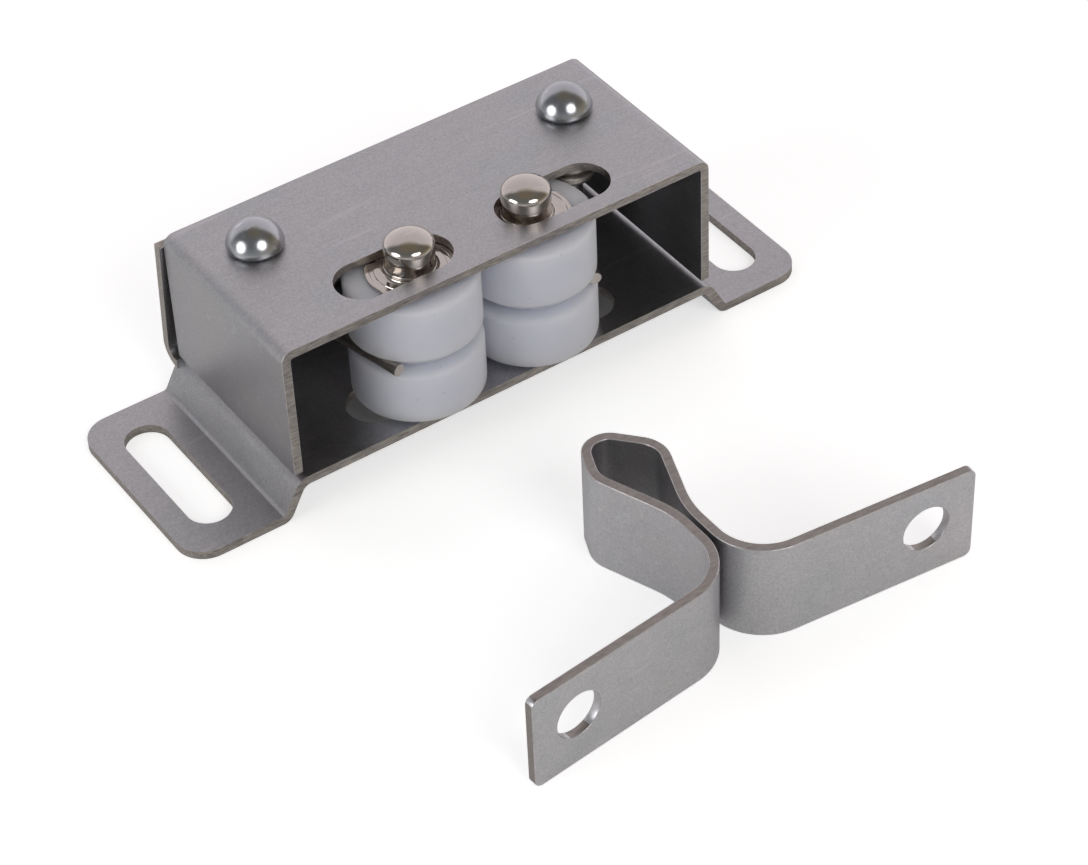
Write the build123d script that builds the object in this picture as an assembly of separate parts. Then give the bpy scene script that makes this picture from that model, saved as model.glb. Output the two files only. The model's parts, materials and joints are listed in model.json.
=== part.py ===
"""Double-roller grab catch with its bulb-nosed strike. Millimetres, +Z up.

Two sprung nylon rollers stand in a folded steel case. The strike, a strip folded
into a bulb with two feet, is pushed between them and held behind its shoulders.
The origin is the centre of the pattern of the two slotted ears, on the plane of
their undersides. X runs along the case, and the rollers look out towards -Y.
"""
import os
from math import acos, asin, atan, atan2, cos, degrees, hypot, pi, radians, sin, sqrt, tan

from build123d import *

# Sheet
SHEET = 1.1

# Base plate with its ears
SLOT_SPACING = 70.8
SLOT_WIDTH = 5.2
SLOT_LENGTH = 18.5
EAR_PAST_SLOT = 5.6
EAR_DEPTH = 25.8
EAR_CORNER = 3.5
PLATE_TOP = 5.1
RAMP_ANGLE = 61.5
RAMP_INSIDE_COVER = 0.56
RAMP_TOP_BEND = 1.2
RAMP_FOOT_BEND = 0.5
WALL_UNDER_COVER = 0.5
WALL_LEAN = 4.8
WALL_GAP_AT_TOP = 0.2
WALL_BEND = 1.2
WALL_PAST_COVER = 0.45
RELIEF_FROM_EAR_BACK = 0.7

# Cover
COVER_LENGTH = 55.2
COVER_DEPTH = 24.7
COVER_SETBACK = 0.5
COVER_LIFT = 0.44
COVER_BEND = 0.3

# Rollers
ROLLER_RADIUS = 7.5
ROLLER_HEIGHT = 15.45
ROLLER_EDGE = 0.5
ROLLER_GAP = 0.1
GROOVE_UP = 7.7
GROOVE_DEPTH = 1.8
GROOVE_SLACK = 0.25
GROOVE_FLARE = 0.25
AXIS_BEHIND_FRONT = 5.3

# Pins
PIN_RADIUS = 2.0
PIN_HEAD_RADIUS = 2.7
PIN_HEAD_HEIGHT = 2.6
PIN_HEAD_ROUND = 0.95
PIN_FOOT_HEIGHT = 1.5
PIN_FOOT_ROUND = 0.5
RUNNING_FIT = 0.05
PRESS_FIT = 0.01

# Guide bushes
HUB_WALL = 0.9
HUB_PROUD = 0.75
FLANGE_WIDTH = 2.1
FLANGE = 0.3
FLANGE_PLAY = 0.05

# Slots that the bushes slide in
PIN_SLOT_INNER = 6.45
PIN_SLOT_RUN = 7.75
PIN_SLOT_PLAY = 0.3
RIGHT_REST_PAST_SLOT = 0.4

# Rear posts
POST_FROM_END = 7.35
POST_BEHIND_FRONT = 17.3
POST_RADIUS = 1.8
TENON_SHOULDER = 0.4
DOME_RADIUS = 3.25
DOME_RIM = 0.25
DOME_HEIGHT = 3.2
UPSET_RADIUS = 2.75
UPSET_HEIGHT = 1.2

# Springs
WIRE = 1.45
WIRE_PLAY = 0.05
COIL_PLAY = 0.125
COIL_PITCH = 1.5
COIL_TURNS = 3
ELBOW = 5.0
TAIL_PLAY = 0.175

# Strike
STRIKE_SHEET = 1.1
STRIKE_HEIGHT = 12.1
STRIKE_X = -1.75
NOSE_FROM_CASE = 20.0
NOSE_HALF_WIDTH = 1.37
NOSE_SHIFT = -1.06
NOSE_ROUND = 1.7
SHOULDER_HALF_WIDTH = 4.28
SHOULDER_BEHIND_NOSE = 4.55
SHOULDER_ROUND = 2.8
NECK_GAP = 0.55
NECK_BEHIND_NOSE = 13.7
NECK_ROUND = 11.0
FOOT_BEHIND_NOSE = 24.0
FOOT_ROUND = 5.5
FOOT_TILT = 5.8
FOOT_HALF_SPAN = 27.85
FOOT_CORNER = 0.9
SCREW_HOLE = 5.6
SCREW_FROM_END = 5.85
SCREW_UP = 6.45

# Heights worked out from the sizes above
PLATE_UNDER = PLATE_TOP - SHEET
ROLLER_BOTTOM = PLATE_TOP + FLANGE_PLAY + FLANGE + RUNNING_FIT
ROLLER_TOP = ROLLER_BOTTOM + ROLLER_HEIGHT
COVER_UNDER = ROLLER_TOP + RUNNING_FIT + FLANGE + FLANGE_PLAY
COVER_TOP = COVER_UNDER + SHEET
WALL_TOP = COVER_UNDER - WALL_UNDER_COVER
GROOVE_HEIGHT = ROLLER_BOTTOM + GROOVE_UP

# Places and radii worked out from the sizes above
EAR_HALF_SPAN = SLOT_SPACING / 2 + EAR_PAST_SLOT
FRONT = COVER_SETBACK - EAR_DEPTH / 2
BACK = FRONT + COVER_DEPTH
WALL_Y = BACK + WALL_GAP_AT_TOP
PIN_Y = FRONT + AXIS_BEHIND_FRONT
PIN_SLOT_OUTER = PIN_SLOT_INNER + PIN_SLOT_RUN
RIGHT_AT_REST = PIN_SLOT_INNER + RIGHT_REST_PAST_SLOT
LEFT_AT_REST = 2 * ROLLER_RADIUS + ROLLER_GAP - RIGHT_AT_REST
POST_X = COVER_LENGTH / 2 - POST_FROM_END
POST_Y = FRONT + POST_BEHIND_FRONT
HUB_RADIUS = PIN_RADIUS + HUB_WALL
GROOVE_RADIUS = ROLLER_RADIUS - GROOVE_DEPTH
TENON_RADIUS = POST_RADIUS - TENON_SHOULDER
COIL_RADIUS = POST_RADIUS + COIL_PLAY + WIRE / 2
TAIL_OUT = POST_FROM_END - SHEET - TAIL_PLAY - WIRE / 2


def offset_line(points, distance):
    """The corners of an open line, moved sideways to its left by a distance."""
    normals = []
    for a, b in zip(points, points[1:]):
        run = hypot(b[0] - a[0], b[1] - a[1])
        normals.append((-(b[1] - a[1]) / run, (b[0] - a[0]) / run))
    moved = [(points[0][0] + distance * normals[0][0], points[0][1] + distance * normals[0][1])]
    for point, n, m in zip(points[1:-1], normals, normals[1:]):
        share = distance / (1 + n[0] * m[0] + n[1] * m[1])
        moved.append((point[0] + share * (n[0] + m[0]), point[1] + share * (n[1] + m[1])))
    end = points[-1]
    moved.append((end[0] + distance * normals[-1][0], end[1] + distance * normals[-1][1]))
    return moved


def folded_sheet(points, inner_radii, thickness):
    """The section of a folded sheet. The points are the corners of its middle line."""
    left_radii = []
    right_radii = []
    for a, b, c, inner in zip(points, points[1:], points[2:], inner_radii):
        turns_left = (b[0] - a[0]) * (c[1] - b[1]) - (b[1] - a[1]) * (c[0] - b[0]) > 0
        left_radii.append(inner if turns_left else inner + thickness)
        right_radii.append(inner + thickness if turns_left else inner)
    left = offset_line(points, thickness / 2)
    right = offset_line(points, -thickness / 2)
    left_line = FilletPolyline(*left, radius=left_radii)
    right_line = FilletPolyline(*right, radius=right_radii)
    ends = [Line(left[0], right[0]), Line(left[-1], right[-1])]
    return make_face(left_line.edges() + right_line.edges() + ends)


def pin_slot(side):
    """The slot that a pin's bush slides in, cut through both plates."""
    middle = (PIN_SLOT_INNER + PIN_SLOT_OUTER) / 2
    slot = SlotCenterToCenter(PIN_SLOT_RUN, 2 * (HUB_RADIUS + PIN_SLOT_PLAY))
    return extrude(Pos(side * middle, PIN_Y, 0) * slot, COVER_TOP + SHEET)


def tenon_hole(side):
    """The hole for a rear post's tenon, cut through both plates."""
    hole = Circle(TENON_RADIUS + PRESS_FIT)
    return extrude(Pos(side * POST_X, POST_Y, 0) * hole, COVER_TOP + SHEET)


def cover():
    """The channel over the rollers, open at the front and at the back."""
    wall_x = (COVER_LENGTH - SHEET) / 2
    top_z = COVER_TOP - SHEET / 2
    foot_z = PLATE_TOP + COVER_LIFT
    line = [(-wall_x, foot_z), (-wall_x, top_z), (wall_x, top_z), (wall_x, foot_z)]
    section = Plane.XZ * folded_sheet(line, [COVER_BEND] * 2, SHEET)
    channel = Pos(0, BACK, 0) * extrude(section, COVER_DEPTH)
    for side in (-1, 1):
        channel -= pin_slot(side) + tenon_hole(side)
    return channel


def base():
    """The plate under the rollers, with its two ears and its back wall."""
    ramp_top = COVER_LENGTH / 2 - RAMP_INSIDE_COVER
    ramp_foot = ramp_top + PLATE_UNDER / tan(radians(RAMP_ANGLE))
    plate_z = PLATE_TOP - SHEET / 2
    ear_z = SHEET / 2
    half = [(ramp_top, plate_z), (ramp_foot, ear_z), (EAR_HALF_SPAN, ear_z)]
    line = [(-x, z) for x, z in reversed(half)] + half
    bends = [RAMP_FOOT_BEND, RAMP_TOP_BEND, RAMP_TOP_BEND, RAMP_FOOT_BEND]
    section = Plane.XZ * folded_sheet(line, bends, SHEET)
    strip = Pos(0, EAR_DEPTH / 2, 0) * extrude(section, EAR_DEPTH)
    strip &= extrude(RectangleRounded(2 * EAR_HALF_SPAN, EAR_DEPTH, EAR_CORNER), PLATE_TOP)

    lean = radians(WALL_LEAN)
    wall_top = (WALL_Y + SHEET / 2 / cos(lean), WALL_TOP)
    corner = (wall_top[0] + (WALL_TOP - plate_z) * tan(lean), plate_z)
    wall_line = [(0, plate_z), corner, wall_top]
    wall_section = Plane.YZ * folded_sheet(wall_line, [WALL_BEND], SHEET)
    wall = extrude(wall_section, COVER_LENGTH / 2 + WALL_PAST_COVER, both=True)
    bend_start = ramp_top - (RAMP_TOP_BEND + SHEET) * tan(radians(RAMP_ANGLE) / 2)
    relief_back = EAR_DEPTH / 2 - RELIEF_FROM_EAR_BACK
    relief = Pos(bend_start + EAR_DEPTH / 2, 0, 0) * Box(EAR_DEPTH, 2 * relief_back, 2 * PLATE_TOP)
    wall -= relief + mirror(relief, Plane.YZ)
    plate = strip + wall

    for side in (-1, 1):
        ear_slot = Rot(0, 0, 90) * SlotOverall(SLOT_LENGTH, SLOT_WIDTH)
        plate -= extrude(Pos(side * SLOT_SPACING / 2, 0, 0) * ear_slot, PLATE_TOP)
        plate -= pin_slot(side) + tenon_hole(side)
    return plate


def post(side):
    """A shouldered rivet that spaces the two plates and carries a spring's coil."""
    under = PLATE_UNDER - UPSET_HEIGHT
    dome_top = COVER_TOP + DOME_HEIGHT
    rim_top = COVER_TOP + DOME_RIM
    rise = DOME_HEIGHT - DOME_RIM
    ball = (DOME_RADIUS**2 + rise**2) / (2 * rise)
    middle = acos((ball - rise) / ball) / 2
    shoulder = (ball * sin(middle), dome_top - ball + ball * cos(middle))
    profile = [
        Line((0, under), (UPSET_RADIUS, under)),
        Line((UPSET_RADIUS, under), (UPSET_RADIUS, PLATE_UNDER)),
        Line((UPSET_RADIUS, PLATE_UNDER), (TENON_RADIUS, PLATE_UNDER)),
        Line((TENON_RADIUS, PLATE_UNDER), (TENON_RADIUS, PLATE_TOP)),
        Line((TENON_RADIUS, PLATE_TOP), (POST_RADIUS, PLATE_TOP)),
        Line((POST_RADIUS, PLATE_TOP), (POST_RADIUS, COVER_UNDER)),
        Line((POST_RADIUS, COVER_UNDER), (TENON_RADIUS, COVER_UNDER)),
        Line((TENON_RADIUS, COVER_UNDER), (TENON_RADIUS, COVER_TOP)),
        Line((TENON_RADIUS, COVER_TOP), (DOME_RADIUS, COVER_TOP)),
        Line((DOME_RADIUS, COVER_TOP), (DOME_RADIUS, rim_top)),
        ThreePointArc((DOME_RADIUS, rim_top), shoulder, (0, dome_top)),
        Line((0, dome_top), (0, under)),
    ]
    turned = revolve(Plane.XZ * make_face(profile), Axis.Z)
    return Pos(side * POST_X, POST_Y, 0) * turned


def roller():
    """A nylon roller with the groove that its spring's leg runs in, on the Z axis."""
    bore = PIN_RADIUS + RUNNING_FIT
    body = Pos(0, 0, ROLLER_BOTTOM) * extrude(Circle(ROLLER_RADIUS) - Circle(bore), ROLLER_HEIGHT)
    rims = body.edges().filter_by(GeomType.CIRCLE)
    body = fillet([rim for rim in rims if rim.radius > bore + RUNNING_FIT], ROLLER_EDGE)
    floor = (WIRE + GROOVE_SLACK) / 2
    outside = ROLLER_RADIUS + GROOVE_DEPTH
    spread = floor + 2 * GROOVE_FLARE
    groove = Polyline(
        (GROOVE_RADIUS, GROOVE_HEIGHT - floor),
        (outside, GROOVE_HEIGHT - spread),
        (outside, GROOVE_HEIGHT + spread),
        (GROOVE_RADIUS, GROOVE_HEIGHT + floor),
        close=True,
    )
    return body - revolve(Plane.XZ * make_face(groove), Axis.Z)


def pin():
    """A pin with a domed head and a riveted foot, on the Z axis."""
    seat = COVER_TOP + HUB_PROUD
    foot = PLATE_UNDER - HUB_PROUD
    shank = Pos(0, 0, foot) * extrude(Circle(PIN_RADIUS), seat - foot)
    head = Pos(0, 0, seat) * extrude(Circle(PIN_HEAD_RADIUS), PIN_HEAD_HEIGHT)
    head = fillet(head.edges().group_by(Axis.Z)[-1], PIN_HEAD_ROUND)
    rivet = Pos(0, 0, foot - PIN_FOOT_HEIGHT) * extrude(Circle(PIN_HEAD_RADIUS), PIN_FOOT_HEIGHT)
    rivet = fillet(rivet.edges().group_by(Axis.Z)[0], PIN_FOOT_ROUND)
    return shank + head + rivet


def bush(flange_seat, hub_end):
    """A flanged guide bush on the Z axis, its flange on the roller, its hub in a slot."""
    way = 1 if hub_end > flange_seat else -1
    bore = PIN_RADIUS + PRESS_FIT
    flange = extrude(Circle(HUB_RADIUS + FLANGE_WIDTH) - Circle(bore), way * FLANGE)
    hub = extrude(Circle(HUB_RADIUS) - Circle(bore), hub_end - flange_seat)
    return Pos(0, 0, flange_seat) * (flange + hub)


def upper_bush():
    """The bush between a roller's top and its pin's head, running in the cover's slot."""
    return bush(ROLLER_TOP + RUNNING_FIT, COVER_TOP + HUB_PROUD)


def lower_bush():
    """The bush between a roller's foot and its pin's riveted end, in the base's slot."""
    return bush(ROLLER_BOTTOM - RUNNING_FIT, PLATE_UNDER - HUB_PROUD)


def leg_angle(pin_x):
    """How far a spring's leg leans inwards, in degrees, with its pin that far out."""
    reach = COIL_RADIUS + GROOVE_RADIUS + WIRE_PLAY + WIRE / 2
    across = POST_X - pin_x
    back = POST_Y - PIN_Y
    return degrees(atan2(across, back) - asin(reach / hypot(across, back)))


def spring(pin_x):
    """The right torsion spring round its post, for a pin at pin_x.

    The leg leaves the foot of the coil and bears on the groove of the roller. The
    tail leaves its head and bears on the back wall. Short elbows level both, since
    the coil climbs.
    """
    lean = radians(leg_angle(pin_x))
    leg_run = (POST_Y + COIL_RADIUS * sin(lean) - FRONT) / cos(lean)

    wall_shift = (WALL_TOP - GROOVE_HEIGHT - COIL_PITCH * COIL_TURNS) * tan(radians(WALL_LEAN))
    tail_back = WALL_Y + wall_shift - WIRE_PLAY - WIRE / 2 - POST_Y
    tail_reach = hypot(tail_back, TAIL_OUT)
    tail_run = sqrt(tail_reach**2 - COIL_RADIUS**2)
    tail_angle = atan2(tail_back, TAIL_OUT) + acos(COIL_RADIUS / tail_reach)
    turn = 2 * pi * COIL_TURNS + pi - lean - tail_angle

    coil = Helix(COIL_PITCH, COIL_PITCH * turn / (2 * pi), COIL_RADIUS, lefthand=True)
    climb = atan(COIL_PITCH / (2 * pi * COIL_RADIUS))
    elbow_run = ELBOW * sin(climb)
    elbow_rise = ELBOW * (1 - cos(climb))
    foot = coil @ 0
    head = coil @ 1
    ahead = Vector((coil % 1).X, (coil % 1).Y).normalized()
    leg_end = foot + Vector(0, leg_run, -elbow_rise)
    leg_elbow = foot + Vector(0, elbow_run, -elbow_rise)
    tail_elbow = head + ahead * elbow_run + Vector(0, 0, elbow_rise)
    tail_end = head + ahead * tail_run + Vector(0, 0, elbow_rise)
    path = Wire([
        Line(leg_end, leg_elbow),
        TangentArc(leg_elbow, foot, tangent=(0, -1, 0)),
        coil.edges()[0],
        TangentArc(head, tail_elbow, tangent=coil % 1),
        Line(tail_elbow, tail_end),
    ])
    wound = sweep(Plane(leg_end, z_dir=(0, -1, 0)) * Circle(WIRE / 2), path=path)
    return Pos(POST_X, POST_Y, GROOVE_HEIGHT) * Rot(0, 0, 180 - degrees(lean)) * wound


def strike():
    """The strip folded into a bulb, a neck and two feet, standing on its edge."""
    tilt = radians(FOOT_TILT)
    nose_y = FRONT - NOSE_FROM_CASE - STRIKE_SHEET / 2
    shoulder_y = nose_y - SHOULDER_BEHIND_NOSE
    neck_y = nose_y - NECK_BEHIND_NOSE
    foot_y = nose_y - FOOT_BEHIND_NOSE
    neck_x = (NECK_GAP + STRIKE_SHEET) / 2
    half = [
        (NOSE_HALF_WIDTH, nose_y),
        (SHOULDER_HALF_WIDTH, shoulder_y),
        (neck_x, neck_y),
        (neck_x, foot_y),
        (FOOT_HALF_SPAN, foot_y - (FOOT_HALF_SPAN - neck_x) * tan(tilt)),
    ]
    radii = [NOSE_ROUND, SHOULDER_ROUND, NECK_ROUND, FOOT_ROUND]
    right = [(STRIKE_X + x + (NOSE_SHIFT if y == nose_y else 0), y) for x, y in half]
    left = [(STRIKE_X - x + (NOSE_SHIFT if y == nose_y else 0), y) for x, y in half]
    line = list(reversed(left)) + right
    section = folded_sheet(line, list(reversed(radii)) + radii, STRIKE_SHEET)
    strip = extrude(section, STRIKE_HEIGHT)
    screw_x = FOOT_HALF_SPAN - SCREW_FROM_END
    screw_y = foot_y - (screw_x - neck_x) * tan(tilt)
    for side in (-1, 1):
        middle = Pos(STRIKE_X + side * screw_x, screw_y, SCREW_UP)
        along = Rot(0, 0, -side * FOOT_TILT) * Rot(90, 0, 0)
        strip -= middle * along * Cylinder(SCREW_HOLE / 2, 4 * STRIKE_SHEET)
    faces = strip.faces().filter_by(GeomType.PLANE).sort_by(Axis.X)
    edges = faces[0].edges() + faces[-1].edges()
    return fillet(edges.filter_by(Axis.Z, reverse=True), FOOT_CORNER)


def place(solid, x):
    """A piece made on the Z axis, moved to the pin axis at X."""
    return Pos(x, PIN_Y, 0) * solid


nodes = {
    "cover": cover(),
    "base": base(),
    "post_left": post(-1),
    "post_right": post(1),
    "strike": strike(),
    "spring_right": spring(RIGHT_AT_REST),
    "spring_left": mirror(spring(LEFT_AT_REST), Plane.YZ),
}
for name, x in (("left", -LEFT_AT_REST), ("right", RIGHT_AT_REST)):
    nodes[f"roller_{name}"] = place(roller(), x)
    nodes[f"pin_{name}"] = place(pin(), x)
    nodes[f"upper_bush_{name}"] = place(upper_bush(), x)
    nodes[f"lower_bush_{name}"] = place(lower_bush(), x)

os.makedirs("parts", exist_ok=True)
for name, shape in nodes.items():
    export_step(shape.solid(), f"parts/{name}.step")
    print(name, len(shape.solids()), round(shape.volume, 2))

for name, rest in (("left", LEFT_AT_REST), ("right", RIGHT_AT_REST)):
    swing = leg_angle(rest) - leg_angle(PIN_SLOT_OUTER)
    travel = PIN_SLOT_OUTER - rest
    rate = radians(swing) / travel * 1000
    print(name, f"travel {travel:.3f} mm, leg swing {swing:.3f} deg, {rate:.3f} rad per m")
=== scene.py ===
"""The finish of a double-roller grab catch and of its bulb-nosed strike.

The catch is a folded steel case on a slotted base. Two nylon rollers stand in it on
nickelled pins, and a torsion spring round each rear post presses them together.
"""
import json
from math import asin, cos, degrees, hypot, pi, radians, sin

import bpy
from mathutils import Matrix, Vector

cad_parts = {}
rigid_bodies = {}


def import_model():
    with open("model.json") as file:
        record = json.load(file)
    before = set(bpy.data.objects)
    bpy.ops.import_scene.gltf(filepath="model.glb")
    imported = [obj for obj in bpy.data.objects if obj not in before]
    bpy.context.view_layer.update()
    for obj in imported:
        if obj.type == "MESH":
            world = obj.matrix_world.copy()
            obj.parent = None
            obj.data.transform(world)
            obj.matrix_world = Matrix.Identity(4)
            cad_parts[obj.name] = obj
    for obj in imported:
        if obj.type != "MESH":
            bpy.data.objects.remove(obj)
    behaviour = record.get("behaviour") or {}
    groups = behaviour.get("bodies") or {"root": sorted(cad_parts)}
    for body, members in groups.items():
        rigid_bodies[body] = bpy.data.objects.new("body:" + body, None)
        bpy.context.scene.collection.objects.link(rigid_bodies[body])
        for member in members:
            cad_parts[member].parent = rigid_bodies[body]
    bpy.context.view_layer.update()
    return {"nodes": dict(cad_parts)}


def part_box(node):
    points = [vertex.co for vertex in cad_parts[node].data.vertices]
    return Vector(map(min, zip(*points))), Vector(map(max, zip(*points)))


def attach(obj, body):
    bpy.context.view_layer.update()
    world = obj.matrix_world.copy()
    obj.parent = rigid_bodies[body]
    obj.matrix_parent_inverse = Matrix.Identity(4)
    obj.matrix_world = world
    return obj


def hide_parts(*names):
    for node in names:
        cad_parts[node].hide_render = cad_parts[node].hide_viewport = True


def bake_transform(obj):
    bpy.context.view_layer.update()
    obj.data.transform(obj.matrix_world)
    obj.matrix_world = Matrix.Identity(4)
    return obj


bl_info = {
    "name": "Double-roller grab catch",
    "version": (1, 0, 0),
    "blender": (4, 5, 0),
    "location": "View3D > Sidebar > Grab catch",
    "description": "Dresses a grab catch and its strike, and sets them on a pale floor",
    "category": "Object",
}

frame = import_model()
SIDES = ("left", "right")

# The photograph's camera: its place in metres, its turns in degrees, its lens in millimetres
CAMERA_AT = (-0.14442, -0.24238, 0.24042)
CAMERA_AZIMUTH = -32.89
CAMERA_ELEVATION = 41.92
CAMERA_ROLL = -2.73
CAMERA_LENS = 107.87

# The two softboxes: bearing and height in degrees, and width in metres
LAMPS = {"lamp_left": (91.0, 20.5, 0.60), "lamp_right": (-1.0, 35.5, 0.56)}
LAMP_DISTANCE = 0.9
LAMPS_FACE = (0.0, -0.02, 0.01)

# Where one part of the room gives way to the next, as parts of a direction of length 1
WALL_STARTS = (0.20, 0.40)
WALL_FADES = (0.05, 0.75)
FRONT_FADES = (0.10, 0.50)
CEILING_STARTS = (0.86, 0.97)
WARM_SIDE_STARTS = (0.2, 0.9)
CEILING_SHARE = 1.15

# The strip of floor, in from the cover's edge, over which the case's shade begins, and the share of
# the floor's colour kept under the case as painted shade
SHADE_STARTS = (0.0055, 0.0035)
PAINTED_SHADE = 0.8

# Material slots of a sheet piece, and of a spring
CUT_FACE, ROLLED_RIM = 1, 2
WIRE_END = 1

# Cosines that tell how a face stands to an axis
SQUARE_ON, FACING, EDGE_ON = 0.99, 0.9, 0.1

# Corners of the ring turned in a flange's face: radius and depth in metres
FLANGE_RING = ((0.00452, 0.00002), (0.00446, 0.00008), (0.00402, 0.00008), (0.00396, 0.0))


def length_property(name, description, default):
    """A size in metres that a user may change."""
    return bpy.props.FloatProperty(
        name=name, description=description, default=default, min=0.0, unit="LENGTH", precision=5)


def colour_property(name, description, default):
    """A colour that a user may change."""
    return bpy.props.FloatVectorProperty(
        name=name, description=description, default=default, size=3, min=0.0, max=1.0,
        subtype="COLOR")


def level_property(name, description, default, **limits):
    """A brightness, power or share that a user may change."""
    return bpy.props.FloatProperty(
        name=name, description=description, default=default, min=0.0, **limits)


class CatchSizes(bpy.types.PropertyGroup):
    """Sizes of the edges, rounds and turned profiles that the finish adds."""
    sheet: length_property("Sheet", "Thickness of the case's sheet", 0.0011)
    ear_roll: length_property(
        "Ear edge roll", "Round left by the press on the upper rim of the ears", 0.00032)
    cut_roll: length_property(
        "Cut edge roll", "Round on the other cut edges of the case", 0.0001)
    strike_roll: length_property(
        "Strike edge roll", "Round on the rims of the strike's strip", 0.00018)
    shank: length_property("Pin shank", "Radius of a pin's shank", 0.002)
    head: length_property("Pin head", "Radius of a pin's head", 0.00281)
    head_dome: length_property("Pin head dome", "Rise of a pin's head over its side", 0.00132)
    foot_round: length_property("Pin foot round", "Round on a pin's riveted foot", 0.0005)
    hub: length_property("Hub", "Radius of a bush's hub at its root", 0.0029)
    hub_neck: length_property("Hub neck", "Radius of a bush's hub under the pin's head", 0.00262)
    hub_fillet: length_property("Hub fillet", "Hollow between a bush's hub and its flange", 0.0005)
    flange: length_property("Flange", "Thickness of a bush's flange", 0.0003)
    groove_up: length_property("Groove", "Height of a roller's groove over its foot", 0.0077)
    groove_round: length_property("Groove round", "Round on a groove's lower rim", 0.0008)
    post: length_property("Post", "Radius of a post between the plates", 0.0018)
    tenon: length_property("Tenon", "Radius of a post's ends in the plates", 0.0014)
    upset: length_property("Upset", "Radius of a post's riveted foot", 0.00275)
    upset_round: length_property("Upset round", "Round on a post's riveted foot", 0.0004)
    dome_lip: length_property("Dome lip", "Height of a dome's widest ring over the cover", 0.0006)
    dome_foot: length_property("Dome foot", "Radius of a dome where it meets the cover", 0.0027)
    wire: length_property("Wire", "Radius of the springs' wire", 0.000725)


class CatchColours(bpy.types.PropertyGroup):
    """Colours of the finishes."""
    steel: colour_property("Case steel", "Satin sheet of the case", (0.478, 0.456, 0.465))
    steel_cool: colour_property("Cool steel", "Bluer patches of the sheet", (0.430, 0.440, 0.456))
    cut: colour_property("Cut steel", "Sheared faces of the sheet", (0.36, 0.33, 0.305))
    zinc: colour_property("Zinc", "Plated domes of the posts", (0.44, 0.45, 0.47))
    nickel: colour_property("Nickel", "Plated pins and bushes", (0.54, 0.495, 0.455))
    wire: colour_property("Spring wire", "Drawn wire of the springs", (0.42, 0.385, 0.35))
    nylon: colour_property("Nylon", "Natural nylon of the rollers", (0.665, 0.68, 0.75))


class CatchStudio(bpy.types.PropertyGroup):
    """Light and floor of the studio."""
    floor: colour_property("Floor", "Pale floor", (0.80, 0.80, 0.80))
    wall: colour_property("Wall tint", "Tint of the wall behind the object", (1.0, 0.955, 0.995))
    warm: colour_property("Warm side", "Tint of the room on the right", (1.0, 0.88, 0.68))
    cool: colour_property("Cool side", "Tint of the room behind the camera", (0.95, 0.975, 1.0))
    sky: level_property("Wall", "Brightness of the wall behind the object", 1.0)
    zenith: level_property("Wall top", "Brightness high on the wall behind the object", 0.74)
    near: level_property("Front", "Brightness of the room low behind the camera", 0.42)
    front: level_property("Front top", "Brightness of the room high behind the camera", 0.19)
    lamp: level_property("Lamps", "Power of each of the two front lamps", 2.5, unit="POWER")
    gleam: level_property("Floor gleam", "Share of the floor's lift that metal sees", 0.14, max=1.0)
    lift: level_property("Floor lift", "White that the camera sees in the floor", 0.56)


def deselect():
    """Nothing is selected and nothing is active."""
    if bpy.context.object and bpy.context.object.mode != "OBJECT":
        bpy.ops.object.mode_set(mode="OBJECT")
    bpy.ops.object.select_all(action="DESELECT")


def take(piece):
    """Only this piece is selected, and it is active."""
    deselect()
    piece.select_set(True)
    bpy.context.view_layer.objects.active = piece


def copy_of(node):
    """A copy of a CAD node with its loose triangles merged into plain faces."""
    source = frame["nodes"][node]
    source.hide_viewport = False
    take(source)
    bpy.ops.object.duplicate()
    piece = bpy.context.active_object
    piece.name = node + "_dressed"
    piece.data.name = piece.name
    for key in list(piece.keys()):
        del piece[key]
    bpy.ops.object.parent_clear(type="CLEAR_KEEP_TRANSFORM")
    piece.data.materials.clear()
    bpy.ops.mesh.customdata_custom_splitnormals_clear()
    bpy.ops.object.mode_set(mode="EDIT")
    bpy.ops.mesh.select_all(action="SELECT")
    bpy.ops.mesh.remove_doubles(threshold=1e-6)
    bpy.ops.mesh.dissolve_limited(angle_limit=radians(0.4))
    bpy.ops.mesh.select_all(action="DESELECT")
    bpy.ops.object.mode_set(mode="OBJECT")
    return piece


def pick_edges(piece, test, sharper_than=30.0):
    """Selects the edges that turn more than an angle and whose two ends pass a test."""
    take(piece)
    bpy.ops.object.mode_set(mode="EDIT")
    bpy.ops.mesh.select_mode(type="EDGE")
    bpy.ops.mesh.select_all(action="DESELECT")
    bpy.ops.mesh.edges_select_sharp(sharpness=radians(sharper_than))
    bpy.ops.object.mode_set(mode="OBJECT")
    mesh = piece.data
    for edge in mesh.edges:
        if edge.select:
            a, b = (mesh.vertices[i].co for i in edge.vertices)
            edge.select = test(a, b)
    bpy.ops.object.mode_set(mode="EDIT")


def roll_edges(piece, test, width, segments, slot):
    """Rounds the sharp edges that pass a test, as a press tool leaves them."""
    pick_edges(piece, test)
    bpy.ops.mesh.bevel(
        offset=width, offset_type="OFFSET", segments=segments, affect="EDGES", profile=0.5,
        clamp_overlap=True, material=slot, loop_slide=True)
    bpy.ops.object.mode_set(mode="OBJECT")


def paint_faces(piece, slot, test):
    """Gives a material slot to the faces whose normal and middle pass a test."""
    for face in piece.data.polygons:
        if test(face.normal, face.center):
            face.material_index = slot


def finish_piece(piece, body, slot_name, *nodes):
    """Smooths a piece, stands it for its CAD nodes and lets it ride on its body."""
    take(piece)
    bpy.ops.object.shade_smooth_by_angle(angle=radians(40))
    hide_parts(*nodes)
    if body:
        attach(piece, body)


def weight_normals(piece):
    """Keeps large flat faces flat beside their rounded edges."""
    modifier = piece.modifiers.new("Flat faces stay flat", "WEIGHTED_NORMAL")
    modifier.keep_sharp = True
    modifier.weight = 60


# Shader building

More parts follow.
